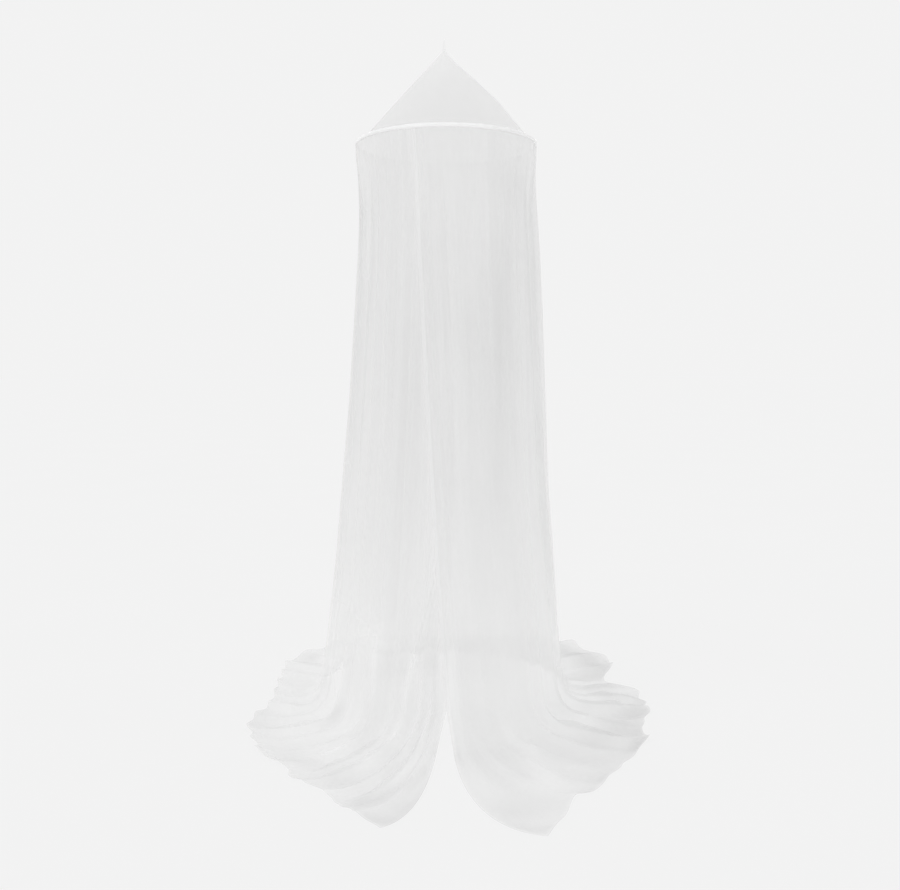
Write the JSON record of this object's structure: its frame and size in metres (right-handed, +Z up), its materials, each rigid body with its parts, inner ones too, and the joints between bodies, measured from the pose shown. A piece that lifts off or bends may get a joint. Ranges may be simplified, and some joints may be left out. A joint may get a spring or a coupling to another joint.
{
  "type": "mosquito net canopy with hoop",
  "caption": "Sheer net canopy hung from one loop: a cone of net over a round hoop, and a long gathered net that laps at the front and lies in folds on the floor.",
  "frame": {"origin": "the point inside the top of the hanging loop where the ceiling hook bears", "axes": "+Z up; the front, where the net laps and parts, faces -Y; +X to the right seen from the front"},
  "size_m": [1.3243, 1.6971, 2.2142],
  "materials": {
    "net_cloth": "sheer white knitted net",
    "tape": "plain white woven tape",
    "hoop_plastic": "smooth white"
  },
  "bodies": {
    "root": {"hanging_loop": "tape", "crown": "net_cloth", "hoop": "hoop_plastic", "hoop_casing": "tape", "net": "net_cloth"}
  },
  "joints": []
}
